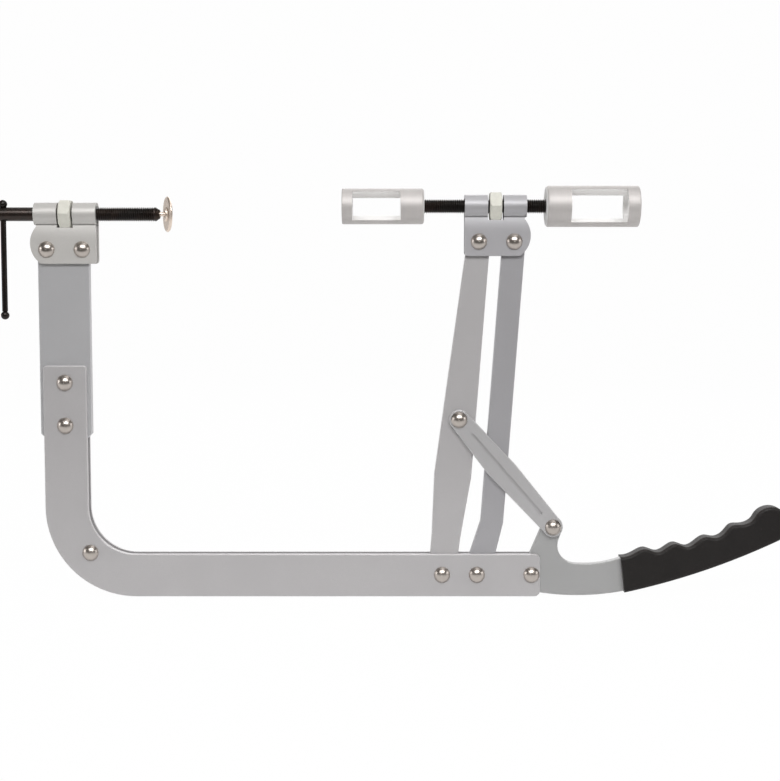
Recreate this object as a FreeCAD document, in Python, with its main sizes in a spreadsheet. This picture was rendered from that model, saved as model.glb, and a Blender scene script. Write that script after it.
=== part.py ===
import FreeCAD, Part
import math
import os
import Sketcher

# A C-frame valve spring compressor, standing on the lower edge of its rail, in millimetres.
# X runs from the screw to the handle, Z is up, the mid-plane of the layered steel is Y = 0 and
# the front, which carries the larger window of each adaptor, looks towards -Y.

SIZES = [
    # The two bent plates of the C-frame and the post between them
    ("leg_outer_x", -247.6),
    ("plate_thickness", 3.0),
    ("strip_width", 30.5),
    ("leg_height", 165.0),
    ("bend_radius", 64.0),
    ("corner_rounding", 2.5),
    ("rail_corner", 4.0),
    ("edge_rounding", 0.8),
    ("rail_overhang", 6.2),
    ("pivot_height", 15.7),
    ("post_thickness", 6.0),
    ("post_width", 36.2),
    ("post_overhang", 2.8),
    ("post_foot", 10.9),
    ("post_head", 8.4),
    ("post_chamfer", 5.0),
    ("leg_rivet_inset", 12.1),
    ("leg_rivet_pitch", 30.4),
    ("corner_rivet_inset", 18.2),
    ("corner_spacer_radius", 7.0),
    # Rivets and running gaps
    ("rivet_radius", 3.0),
    ("rivet_head_radius", 5.7),
    ("rivet_head_height", 3.8),
    ("rivet_head_rim", 0.5),
    ("pivot_clearance", 0.05),
    ("running_gap", 0.2),
    # The saddle, a sheet folded round the screw, and the nut that it holds
    ("sheet_thickness", 2.5),
    ("saddle_length", 43.5),
    ("saddle_pitch", 24.8),
    ("saddle_edge", 10.0),
    ("saddle_step", 1.5),
    ("bulge_radius", 17.3),
    ("bulge_inset", 5.8),
    ("bulge_rise", 4.2),
    ("fold_radius", 3.0),
    ("saddle_drop", 10.0),
    ("saddle_rise", 24.7),
    ("screw_saddle_inset", 4.5),
    ("screw_saddle_height", 246.6),
    ("saddle_bore_clearance", 0.6),
    ("nut_across_flats", 19.0),
    ("nut_thickness", 8.5),
    ("nut_seat_gap", 0.1),
    ("nut_side_gap", 1.3),
    # The jaw's two arms, a parallelogram between the rail and the jaw saddle
    ("lever_pivot_x", 98.0),
    ("front_pivot_setback", 63.7),
    ("arm_length", 237.74),
    ("arm_lean_angle", 6.085),
    ("arm_foot_radius", 9.6),
    ("arm_top_radius", 8.1),
    ("front_arm_waist", 10.3),
    ("front_arm_waist_at", 28.0),
    ("front_arm_belly", 13.2),
    ("front_arm_belly_at", 71.0),
    ("rear_arm_elbow_at", 38.5),
    ("rear_arm_elbow_shift", 6.7),
    ("rear_arm_half_width", 8.1),
    # The lever, the pair of links that it drives, and its grip
    ("link_joint_across", 15.15),
    ("link_joint_up", 34.05),
    ("arm_link_radius", 111.6),
    ("link_hole_clearance", 2.9),
    ("link_end_radius", 7.0),
    ("link_outer_bulge", 9.0),
    ("link_inner_bulge", 10.0),
    ("link_outer_bulge_at", 50.0),
    ("link_inner_bulge_at", 60.0),
    ("bead_start", 13.4),
    ("bead_end", 87.4),
    ("bead_width", 2.2),
    ("bead_depth", 1.1),
    ("lever_nose_radius", 7.3),
    ("nose_end_angle", -20.0),
    ("shin_angle", 66.8),
    ("shin_length", 40.0),
    ("heel_across", -6.5),
    ("heel_drop", 8.5),
    ("throat_length", 7.0),
    ("throat_radius", 13.0),
    ("hollow_radius", 80.0),
    ("hollow_across", 37.5),
    ("belly_radius", 178.0),
    ("belly_across", 33.0),
    ("belly_drop", 15.6),
    ("grip_start_across", 65.2),
    ("grip_start_tilt_angle", 6.8),
    ("grip_wall", 0.5),
    ("grip_thickness", 14.0),
    ("grip_rounding", 2.6),
    ("grip_back_radius", 500.0),
    ("grip_back_rise_angle", 12.3),
    ("pommel_along", 115.7),
    ("pommel_radius", 12.8),
    ("pommel_top_angle", 152.0),
    ("tang_knee_across", 112.0),
    ("tang_knee_up", 8.0),
    ("tang_end_across", 160.0),
    ("tang_end_up", 26.0),
    ("tang_width", 13.4),
    # The feed screw with its sliding bar and its swivelling pad
    ("screw_radius", 5.0),
    ("shank_radius", 4.85),
    ("screw_end_x", -285.0),
    ("shank_end_x", -246.0),
    ("thread_end_x", -167.3),
    ("screw_tip_x", -164.5),
    ("screw_tip_radius", 3.0),
    ("end_chamfer", 1.0),
    ("thread_clearance", 0.05),
    ("bar_x", -274.8),
    ("bar_radius", 2.0),
    ("bar_hole_clearance", 0.1),
    ("bar_drop", 71.0),
    ("ball_radius", 3.0),
    ("ball_seat", 7.05),
    ("ball_spigot_radius", 1.2),
    ("pad_x", -160.85),
    ("pad_radius", 12.5),
    ("pad_thickness", 2.2),
    ("pad_turn_angle", 20.0),
    ("pad_dish_radius", 3.9),
    ("pad_dish_floor", 3.4),
    ("pad_dish_wall", 1.1),
    ("pad_dish_depth", 2.3),
    ("pad_hole_radius", 2.0),
    ("pin_radius", 1.5),
    ("pin_depth", 6.0),
    ("pin_head_radius", 2.5),
    ("pin_head_height", 0.9),
    ("pin_head_gap", 1.1),
    # The double-ended stud of the jaw and its two windowed adaptors
    ("adaptor_socket_depth", 14.0),
    ("small_adaptor_x", 21.1),
    ("small_adaptor_radius", 12.5),
    ("small_adaptor_wall", 2.5),
    ("small_adaptor_length", 57.6),
    ("small_adaptor_root", 16.5),
    ("small_adaptor_rim", 7.2),
    ("small_window_front", 9.9),
    ("small_window_rear", 6.35),
    ("large_adaptor_x", 106.4),
    ("large_adaptor_radius", 14.4),
    ("large_adaptor_wall", 3.0),
    ("large_adaptor_length", 65.2),
    ("large_adaptor_root", 17.1),
    ("large_adaptor_rim", 8.6),
    ("large_window_front", 11.4),
    ("large_window_rear", 8.2),
    ("adaptor_edge_rounding", 2.0),
    ("mouth_recess", 0.5),
    ("mouth_land", 1.2),
]

document = FreeCAD.newDocument("valve_spring_compressor")
sheet = document.addObject("Spreadsheet::Sheet", "sizes")
for row, (alias, number) in enumerate(SIZES, start=1):
    sheet.set(f"A{row}", alias)
    sheet.set(f"B{row}", str(number))
    sheet.setAlias(f"B{row}", alias)
document.recompute()

PIECES = []


class Size:
    """A length or an angle: its number now and the sheet formula that it follows."""

    def __init__(self, number, formula):
        self.number = number
        self.formula = formula

    def __add__(self, other):
        other = as_size(other)
        return Size(self.number + other.number, f"({self.formula} + {other.formula})")

    def __sub__(self, other):
        other = as_size(other)
        return Size(self.number - other.number, f"({self.formula} - {other.formula})")

    def __mul__(self, other):
        other = as_size(other)
        return Size(self.number * other.number, f"({self.formula} * {other.formula})")

    def __truediv__(self, other):
        other = as_size(other)
        return Size(self.number / other.number, f"({self.formula} / {other.formula})")

    def __neg__(self):
        return Size(-self.number, f"(0 - {self.formula})")


def as_size(value):
    """A plain number becomes a Size with itself as its formula."""
    if isinstance(value, Size):
        return value
    return Size(float(value), f"({float(value)})")


def size(alias):
    """The Size held by one cell of the sheet."""
    return Size(float(getattr(sheet, alias)), f"sizes.{alias}")


def sine(angle):
    return Size(math.sin(math.radians(angle.number)), f"sin({angle.formula} * 1 deg)")


def cosine(angle):
    return Size(math.cos(math.radians(angle.number)), f"cos({angle.formula} * 1 deg)")


def root(square):
    return Size(math.sqrt(square.number), f"sqrt({square.formula})")


def bind(feature, name, value):
    """Give a property its number and the formula that keeps it current."""
    setattr(feature, name, value.number)
    feature.setExpression(name, value.formula)


def new_body(label):
    body = document.addObject("PartDesign::Body", label)
    PIECES.append(body)
    return body


def place(piece, x=0.0, y=0.0, z=0.0, lean=None, axis=(0, 1, 0)):
    """Set a piece where it sits at rest, turned by lean about an axis through its own origin."""
    steps = {"x": as_size(x), "y": as_size(y), "z": as_size(z)}
    turn = FreeCAD.Rotation()
    if lean is not None:
        turn = FreeCAD.Rotation(FreeCAD.Vector(*axis), lean.number)
    base = FreeCAD.Vector(steps["x"].number, steps["y"].number, steps["z"].number)
    piece.Placement = FreeCAD.Placement(base, turn)
    for letter, value in steps.items():
        piece.setExpression(f"Placement.Base.{letter}", value.formula)


def new_sketch(body, name, plane="XZ_Plane"):
    """A sketch on one of the body's own origin planes."""
    sketch = body.newObject("Sketcher::SketchObject", f"{body.Label}_{name}")
    origin_plane = [part for part in body.Origin.OriginFeatures if part.Role == plane][0]
    sketch.AttachmentSupport = [(origin_plane, "")]
    sketch.MapMode = "FlatFace"
    return sketch


def bind_offset(sketch, along):
    """Move a sketch along its plane's normal by a formula."""
    offset = FreeCAD.Vector(0, 0, along.number)
    sketch.AttachmentOffset = FreeCAD.Placement(offset, FreeCAD.Rotation())
    sketch.setExpression("AttachmentOffset.Base.z", along.formula)
    document.recompute()


def fix_distance(sketch, kind, geometry, point, value):
    """Tie one coordinate of a point to its formula, measured from the sketch's origin."""
    rule = Sketcher.Constraint(kind, -1, 1, geometry, point, value.number)
    index = sketch.addConstraint(rule)
    sketch.setExpression(f"Constraints[{index}]", value.formula)


def fix_radius(sketch, geometry, value):
    index = sketch.addConstraint(Sketcher.Constraint("Radius", geometry, value.number))
    sketch.setExpression(f"Constraints[{index}]", value.formula)


def arc_between(start, end, centre, turns_left):
    """The arc from start to end whose centre keeps one coordinate of the centre asked for.

    Returns the arc, and which coordinate was kept: the one that lies more across the chord.
    """
    x0, y0 = start[0].number, start[1].number
    x1, y1 = end[0].number, end[1].number
    cx, cy = centre[0].number, centre[1].number
    level = abs(x1 - x0) > abs(y1 - y0)
    if level:
        cx = ((x1 * x1 + y1 * y1 - x0 * x0 - y0 * y0) / 2 - cy * (y1 - y0)) / (x1 - x0)
    else:
        cy = ((x1 * x1 + y1 * y1 - x0 * x0 - y0 * y0) / 2 - cx * (x1 - x0)) / (y1 - y0)
    first = math.atan2(y0 - cy, x0 - cx)
    last = math.atan2(y1 - cy, x1 - cx)
    if not turns_left:
        first, last = last, first
    if last < first:
        last += 2 * math.pi
    circle = Part.Circle(FreeCAD.Vector(cx, cy, 0), FreeCAD.Vector(0, 0, 1), math.hypot(x0 - cx, y0 - cy))
    return Part.ArcOfCircle(circle, first, last), level


def draw_outline(sketch, corners):
    """Draw a closed loop through the corners, each one (x, y) or (x, y, centre, turns_left).

    A corner with a centre is joined to the next corner by an arc, any other by a straight line.
    """
    points = [tuple(as_size(value) for value in corner[:2]) for corner in corners]
    ends = []
    for index, corner in enumerate(corners):
        start = points[index]
        end = points[(index + 1) % len(points)]
        if len(corner) == 2:
            line = Part.LineSegment(
                FreeCAD.Vector(start[0].number, start[1].number, 0),
                FreeCAD.Vector(end[0].number, end[1].number, 0),
            )
            ends.append((sketch.addGeometry(line), 1, 2))
            continue
        centre = tuple(as_size(value) for value in corner[2])
        arc, level = arc_between(start, end, centre, corner[3])
        geometry = sketch.addGeometry(arc)
        ends.append((geometry, 1, 2) if corner[3] else (geometry, 2, 1))
        if level:
            fix_distance(sketch, "DistanceY", geometry, 3, centre[1])
        else:
            fix_distance(sketch, "DistanceX", geometry, 3, centre[0])
    for index, (geometry, first, last) in enumerate(ends):
        following, following_first, _ = ends[(index + 1) % len(ends)]
        sketch.addConstraint(
            Sketcher.Constraint("Coincident", geometry, last, following, following_first)
        )
        fix_distance(sketch, "DistanceX", geometry, first, points[index][0])
        fix_distance(sketch, "DistanceY", geometry, first, points[index][1])


def draw_circle(sketch, x, y, radius):
    x, y = as_size(x), as_size(y)
    centre = FreeCAD.Vector(x.number, y.number, 0)
    circle = Part.Circle(centre, FreeCAD.Vector(0, 0, 1), radius.number)
    geometry = sketch.addGeometry(circle)
    fix_distance(sketch, "DistanceX", geometry, 3, x)
    fix_distance(sketch, "DistanceY", geometry, 3, y)
    fix_radius(sketch, geometry, radius)


def pad(body, sketch, length, centred=True):
    feature = body.newObject("PartDesign::Pad", f"{sketch.Label}_pad")
    feature.Profile = sketch
    feature.Midplane = centred
    bind(feature, "Length", length)
    document.recompute()
    return feature


def pocket(body, sketch, length=None, centred=True, backwards=False):
    """Cut a sketch into the body, or right through it, and see that it took material away."""
    before = body.Shape.Volume
    feature = body.newObject("PartDesign::Pocket", f"{sketch.Label}_pocket")
    feature.Profile = sketch
    feature.Midplane = centred
    feature.Reversed = backwards
    if length is None:
        feature.Type = "ThroughAll"
    else:
        bind(feature, "Length", length)
    document.recompute()
    if body.Shape.Volume >= before:
        raise RuntimeError(f"{feature.Label} removes nothing")
    return feature


def revolve(body, sketch, axis):
    feature = body.newObject("PartDesign::Revolution", f"{sketch.Label}_turned")
    feature.Profile = sketch
    feature.ReferenceAxis = (sketch, [axis])
    feature.Angle = 360
    document.recompute()
    return feature


def rounded(body, radius, chosen):
    """Fillet the edges of the body's last feature that the chosen test accepts."""
    base = body.Tip
    names = [f"Edge{n}" for n, edge in enumerate(base.Shape.Edges, start=1) if chosen(edge)]
    feature = body.newObject("PartDesign::Fillet", f"{body.Label}_rounding")
    feature.Base = (base, names)
    bind(feature, "Radius", radius)
    document.recompute()
    return feature


def rim_test(depths, smallest=0.0):
    """A test for edges that lie in a plane Y = depth, leaving out circles up to a radius."""

    def chosen(edge):
        box = edge.BoundBox
        if box.YLength > 1e-6 or min(abs(box.YMin - depth) for depth in depths) > 1e-6:
            return False
        return not (edge.isClosed() and box.XLength <= 2 * smallest + 1e-6)

    return chosen


def along_x_at(edge, depth, height):
    """Whether an edge runs along X at a depth to either side of the mid-plane, at a height."""
    box = edge.BoundBox
    straight = box.YLength < 1e-6 and box.ZLength < 1e-6
    return straight and abs(abs(box.YMin) - depth) < 1e-6 and abs(box.ZMin - height) < 1e-6


def round_plate(body, thickness, hole_radius, sides=(-1, 1)):
    """Break the outer edges of a stamped plate, but not those of its holes."""
    depths = [side * thickness.number / 2 for side in sides]
    return rounded(body, size("edge_rounding"), rim_test(depths, hole_radius.number))


# Values that several pieces share
plate_thickness = size("plate_thickness")
post_thickness = size("post_thickness")
arm_thickness = post_thickness - size("running_gap") * 2
stack_depth = post_thickness / 2 + plate_thickness
plate_depth = post_thickness / 2 + plate_thickness / 2
leg_left = size("leg_outer_x")
leg_middle = leg_left + size("strip_width") / 2
post_left = leg_left - size("post_overhang")
post_right = post_left + size("post_width")
pivot_height = size("pivot_height")
lever_x = size("lever_pivot_x")
front_pivot_x = lever_x - size("front_pivot_setback")
rear_pivot_x = front_pivot_x + size("saddle_pitch")
diagonal = root(as_size(0.5))
leg_rivet_high = size("leg_height") - size("leg_rivet_inset")
leg_rivet_low = leg_rivet_high - size("leg_rivet_pitch")
corner_rivet_x = leg_left + size("bend_radius") - (size("bend_radius") - size("corner_rivet_inset")) * diagonal
corner_rivet_z = size("bend_radius") - (size("bend_radius") - size("corner_rivet_inset")) * diagonal
screw_rivet_x = post_right - size("screw_saddle_inset")
screw_rivet_z = size("screw_saddle_height")
arm_lean_angle = size("arm_lean_angle")
jaw_pivot_x = front_pivot_x + size("arm_length") * sine(arm_lean_angle)
jaw_pivot_z = pivot_height + size("arm_length") * cosine(arm_lean_angle)
screw_axis_z = screw_rivet_z + size("saddle_rise")
jaw_axis_z = jaw_pivot_z + size("saddle_rise")
arm_joint_x = front_pivot_x + size("arm_link_radius") * sine(arm_lean_angle)
arm_joint_z = pivot_height + size("arm_link_radius") * cosine(arm_lean_angle)
link_joint_x = lever_x + size("link_joint_across")
link_joint_z = pivot_height + size("link_joint_up")
link_run = link_joint_x - arm_joint_x
link_climb = arm_joint_z - link_joint_z
link_length = root(link_run * link_run + link_climb * link_climb)
rivet_radius = size("rivet_radius")
pivot_hole_radius = rivet_radius + size("pivot_clearance")
saddle_depth = post_thickness / 2 + size("sheet_thickness")
saddle_bore_radius = size("screw_radius") + size("saddle_bore_clearance")
tube_radius = saddle_bore_radius + size("sheet_thickness")
nut_offset = size("saddle_length") / 2 - size("saddle_edge")
screw_bore_radius = size("screw_radius") + size("thread_clearance")


def make_frame_plate(label, side):
    """One bent strip of the C: a leg, a large round bend and a rail, with its six holes."""
    width = size("strip_width")
    bend = size("bend_radius")
    small = size("corner_rounding")
    corner = size("rail_corner")
    right = lever_x + size("rail_overhang")
    top = size("leg_height")
    inner = leg_left + width
    middle = (leg_left + bend, bend)
    body = new_body(label)
    sketch = new_sketch(body, "outline")
    draw_outline(sketch, [
        (leg_left, top - small),
        (leg_left, bend, middle, True),
        (leg_left + bend, 0),
        (right - corner, 0, (right - corner, corner), True),
        (right, corner),
        (right, width - corner, (right - corner, width - corner), True),
        (right - corner, width),
        (leg_left + bend, width, middle, False),
        (inner, bend),
        (inner, top - small, (inner - small, top - small), True),
        (inner - small, top),
        (leg_left + small, top, (leg_left + small, top - small), True),
    ])
    for x, z in [
        (leg_middle, leg_rivet_high),
        (leg_middle, leg_rivet_low),
        (corner_rivet_x, corner_rivet_z),
        (front_pivot_x, pivot_height),
        (rear_pivot_x, pivot_height),
        (lever_x, pivot_height),
    ]:
        draw_circle(sketch, x, z, rivet_radius)
    pad(body, sketch, plate_thickness)
    round_plate(body, plate_thickness, rivet_radius, sides=(side,))
    place(body, y=plate_depth * side)


def make_post():
    """The wide upright that carries the screw, held between the two legs of the frame."""
    bottom = leg_rivet_low - size("post_foot")
    top = screw_rivet_z + size("post_head")
    cut = size("post_chamfer")
    body = new_body("upright_post")
    sketch = new_sketch(body, "outline")
    draw_outline(sketch, [
        (post_left, bottom + cut),
        (post_left + cut, bottom),
        (post_right - cut, bottom),
        (post_right, bottom + cut),
        (post_right, top - cut),
        (post_right - cut, top),
        (post_left + cut, top),
        (post_left, top - cut),
    ])
    for x, z in [
        (leg_middle, leg_rivet_high),
        (leg_middle, leg_rivet_low),
        (screw_rivet_x, screw_rivet_z),
        (screw_rivet_x - size("saddle_pitch"), screw_rivet_z),
    ]:
        draw_circle(sketch, x, z, rivet_radius)
    pad(body, sketch, post_thickness)
    round_plate(body, post_thickness, rivet_radius)
    place(body)


def make_corner_spacer():
    """The washer that keeps the two frame plates apart at the bend."""
    body = new_body("corner_spacer")
    sketch = new_sketch(body, "ring")
    draw_circle(sketch, 0, 0, size("corner_spacer_radius"))
    draw_circle(sketch, 0, 0, rivet_radius)
    pad(body, sketch, post_thickness)
    place(body, corner_rivet_x, 0, corner_rivet_z)


def make_rivet(label, half_grip, x, z):
    """A dome-headed rivet across the stack, turned round the Y axis."""
    head = size("rivet_head_radius")
    rim = size("rivet_head_rim")
    crown = size("rivet_head_height") - rim
    dome = (head * head + crown * crown) / (crown * 2)
    base = half_grip + rim
    peak = half_grip + size("rivet_head_height")
    body = new_body(label)
    sketch = new_sketch(body, "profile", "XY_Plane")
    draw_outline(sketch, [
        (0, -peak, (0, dome - peak), True),
        (head, -base),
        (head, -half_grip),
        (rivet_radius, -half_grip),
        (rivet_radius, half_grip),
        (head, half_grip),
        (head, base, (0, peak - dome), True),
        (0, peak),
    ])
    revolve(body, sketch, "V_Axis")
    place(body, x, 0, z)


def make_saddle(label, side, x, z):
    """A sheet folded into a tube round the screw, with two legs that straddle the steel below.

    Its own origin is the rivet beside the straight edge; side is 1 where that edge is on the
    right. The legs bulge past the other rivet, and a slot across the tube holds the nut.
    """
    rise = size("saddle_rise")
    drop = size("saddle_drop")
    bulge = size("bulge_radius")
    near = size("saddle_edge") * side
    far = size("saddle_pitch") * (-side)
    end = near - (size("saddle_length") - size("saddle_step")) * side
    centre = (far + size("bulge_inset") * side, size("bulge_rise"))
    small = size("corner_rounding")
    left = side > 0
    body = new_body(label)

    flange = new_sketch(body, "flange")
    shoulder = centre[1] + root(bulge * bulge - (centre[0] - end) * (centre[0] - end))
    foot = root(bulge * bulge - (drop + centre[1]) * (drop + centre[1]))
    draw_outline(flange, [
        (near, rise),
        (end, rise),
        (end, shoulder, centre, left),
        (centre[0] - foot * side, -drop),
        (near - small * side, -drop, (near - small * side, small - drop), left),
        (near, small - drop),
    ])
    draw_circle(flange, 0, 0, rivet_radius)
    draw_circle(flange, far, 0, rivet_radius)
    pad(body, flange, saddle_depth * 2)

    tube = new_sketch(body, "tube", "YZ_Plane")
    draw_circle(tube, 0, rise, tube_radius)
    tube_pad = pad(body, tube, size("saddle_length"), centred=False)
    tube_pad.Reversed = side > 0
    bind_offset(tube, near)
    fold_height = rise.number - math.sqrt(tube_radius.number ** 2 - saddle_depth.number ** 2)
    rounded(body, size("fold_radius"), lambda edge: along_x_at(edge, saddle_depth.number, fold_height))

    bore = new_sketch(body, "bore", "YZ_Plane")
    draw_circle(bore, 0, rise, saddle_bore_radius)
    pocket(body, bore)

    gap = new_sketch(body, "gap", "YZ_Plane")
    draw_outline(gap, [
        (-(post_thickness / 2), -drop * 2),
        (post_thickness / 2, -drop * 2),
        (post_thickness / 2, rise),
        (-(post_thickness / 2), rise),
    ])
    pocket(body, gap)

    window = new_sketch(body, "window")
    reach = size("nut_across_flats") / 2 + size("nut_seat_gap")
    half_slot = size("nut_thickness") / 2 + size("nut_side_gap")
    middle = nut_offset * (-side)
    draw_outline(window, [
        (middle - half_slot, rise - reach),
        (middle + half_slot, rise - reach),
        (middle + half_slot, rise + reach),
        (middle - half_slot, rise + reach),
    ])
    pocket(body, window)
    place(body, x, 0, z)


def make_nut(label, x, z):
    """A hexagon nut on the X axis with one corner towards the viewer."""
    flat = size("nut_across_flats") / 2
    corner = size("nut_across_flats") / root(as_size(3))
    body = new_body(label)
    sketch = new_sketch(body, "hexagon", "YZ_Plane")
    draw_outline(sketch, [
        (-corner, 0),
        (-corner / 2, -flat),
        (corner / 2, -flat),
        (corner, 0),
        (corner / 2, flat),
        (-corner / 2, flat),
    ])
    draw_circle(sketch, 0, 0, screw_bore_radius)
    pad(body, sketch, size("nut_thickness"))
    place(body, x, 0, z)


def make_front_arm():
    """The wide arm that the links push: narrow at both ends, widest below the link joint."""
    foot = size("arm_foot_radius")
    waist = size("front_arm_waist")
    waist_at = size("front_arm_waist_at")
    belly = size("front_arm_belly")
    belly_at = size("front_arm_belly_at")
    top = size("arm_top_radius")
    length = size("arm_length")
    body = new_body("front_arm")
    sketch = new_sketch(body, "outline")
    draw_outline(sketch, [
        (-foot, 0, (0, 0), True),
        (foot, 0),
        (waist, waist_at),
        (belly, belly_at),
        (top, length, (0, length), True),
        (-top, length),
        (-belly, belly_at),
        (-waist, waist_at),
    ])
    draw_circle(sketch, 0, 0, pivot_hole_radius)
    draw_circle(sketch, 0, size("arm_link_radius"), rivet_radius + size("link_hole_clearance"))
    draw_circle(sketch, 0, length, pivot_hole_radius)
    pad(body, sketch, arm_thickness)
    round_plate(body, arm_thickness, rivet_radius + size("link_hole_clearance"))
    place(body, front_pivot_x, 0, pivot_height, lean=arm_lean_angle)


def make_rear_arm():
    """The narrow arm, cranked above the rail, that keeps the jaw level."""
    foot = size("arm_foot_radius")
    half = size("rear_arm_half_width")
    elbow = size("rear_arm_elbow_at")
    shift = size("rear_arm_elbow_shift")
    top = size("arm_top_radius")
    length = size("arm_length")
    body = new_body("rear_arm")
    sketch = new_sketch(body, "outline")
    draw_outline(sketch, [
        (-foot, 0, (0, 0), True),
        (foot, 0),
        (shift + half, elbow),
        (top, length, (0, length), True),
        (-top, length),
        (shift - half, elbow),
    ])
    draw_circle(sketch, 0, 0, pivot_hole_radius)
    draw_circle(sketch, 0, length, pivot_hole_radius)
    pad(body, sketch, arm_thickness)
    round_plate(body, arm_thickness, pivot_hole_radius)
    place(body, rear_pivot_x, 0, pivot_height, lean=arm_lean_angle)


def make_link_plate(label, side):
    """One of the two links: a long plate, wide in the middle, with a pressed bead along it."""
    tip = size("link_end_radius")
    body = new_body(label)
    sketch = new_sketch(body, "outline")
    draw_outline(sketch, [
        (-tip, 0, (0, 0), True),
        (tip, 0),
        (size("link_outer_bulge"), size("link_outer_bulge_at")),
        (tip, link_length, (0, link_length), True),
        (-tip, link_length),
        (-size("link_inner_bulge"), size("link_inner_bulge_at")),
    ])
    draw_circle(sketch, 0, 0, rivet_radius)
    draw_circle(sketch, 0, link_length, rivet_radius)
    pad(body, sketch, plate_thickness)
    round_plate(body, plate_thickness, rivet_radius, sides=(side,))
    bead = new_sketch(body, "bead")
    half = size("bead_width") / 2
    draw_outline(bead, [
        (-half, size("bead_start"), (0, size("bead_start")), True),
        (half, size("bead_start")),
        (half, size("bead_end"), (0, size("bead_end")), True),
        (-half, size("bead_end")),
    ])
    bind_offset(bead, (plate_thickness / 2) * (-side))
    pocket(body, bead, size("bead_depth"), centred=False, backwards=side > 0)
    lean = as_size(-math.degrees(math.atan2(link_run.number, link_climb.number)))
    place(body, link_joint_x, plate_depth * side, link_joint_z, lean=lean)


def below(centre, radius, across):
    """The lower point of a circle at a distance across."""
    step = across - centre[0]
    return across, centre[1] - root(radius * radius - step * step)


def away(point, distance, angle):
    """The point at a distance from another, in a direction given as an angle."""
    return point[0] + distance * cosine(angle), point[1] + distance * sine(angle)


# Places on the lever, measured from its pivot: the nose, then the throat and the hollow of the
# handle, each an arc that runs on smoothly from the one before
NOSE = (size("link_joint_across"), size("link_joint_up"))
NOSE_END = away(NOSE, size("lever_nose_radius"), size("nose_end_angle"))
THROAT_START = away(NOSE_END, size("throat_length"), size("nose_end_angle") - 90)
THROAT = away(THROAT_START, size("throat_radius"), size("nose_end_angle"))
arcs_apart = size("hollow_radius") - size("throat_radius")
hollow_step = size("hollow_across") - THROAT[0]
HOLLOW = (size("hollow_across"), THROAT[1] + root(arcs_apart * arcs_apart - hollow_step * hollow_step))
THROAT_END = (
    HOLLOW[0] - hollow_step * size("hollow_radius") / arcs_apart,
    HOLLOW[1] - (HOLLOW[1] - THROAT[1]) * size("hollow_radius") / arcs_apart,
)
BELLY = (size("belly_across"), size("belly_radius") - size("belly_drop"))
STEEL_LOW = below(BELLY, size("belly_radius"), size("grip_start_across"))
STEEL_HIGH = below(HOLLOW, size("hollow_radius"), size("grip_start_across"))


def make_lever_plate():
    """The cam-shaped lever: a nose for the links, a hooked neck, a belly and a tang.

    Returns the plate as it is before its rim is rounded, which is what the grip is moulded on.
    """
    shin_top = away(NOSE, size("lever_nose_radius"), size("shin_angle") + 90)
    half_tang = size("tang_width") / 2
    body = new_body("lever_plate")
    sketch = new_sketch(body, "outline")
    draw_outline(sketch, [
        shin_top,
        away(shin_top, size("shin_length"), size("shin_angle") - 180),
        (size("heel_across"), -size("heel_drop")),
        below(BELLY, size("belly_radius"), as_size(0)) + (BELLY, True),
        STEEL_LOW,
        (size("tang_knee_across"), size("tang_knee_up") - half_tang),
        (size("tang_end_across"), size("tang_end_up") - half_tang),
        (size("tang_end_across"), size("tang_end_up") + half_tang),
        (size("tang_knee_across"), size("tang_knee_up") + half_tang),
        STEEL_HIGH + (HOLLOW, False),
        THROAT_END + (THROAT, False),
        THROAT_START,
        NOSE_END + (NOSE, True),
    ])
    draw_circle(sketch, 0, 0, pivot_hole_radius)
    draw_circle(sketch, NOSE[0], NOSE[1], pivot_hole_radius)
    blank = pad(body, sketch, arm_thickness)
    half = arm_thickness.number / 2
    on_rim = rim_test([-half, half], pivot_hole_radius.number)
    steel_end = STEEL_LOW[0].number + 1e-6
    rounded(body, size("edge_rounding"), lambda edge: on_rim(edge) and edge.BoundBox.XMax < steel_end)
    place(body, lever_x, 0, pivot_height)
    return blank


# The grip's finger side: distance along its back from the steel, and height above the back
FINGER_SIDE = [
    (12.8, 26.2), (21.9, 27.4), (30.1, 22.9), (36.5, 23.7),
    (44.7, 25.0), (52.3, 20.3), (60.5, 21.6), (68.3, 22.7),
    (73.9, 19.9), (82.0, 20.5), (89.7, 23.6), (95.3, 21.8),
    (101.2, 20.8),
]


def flat_vector(point):
    return FreeCAD.Vector(point[0], 0, point[1])


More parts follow.
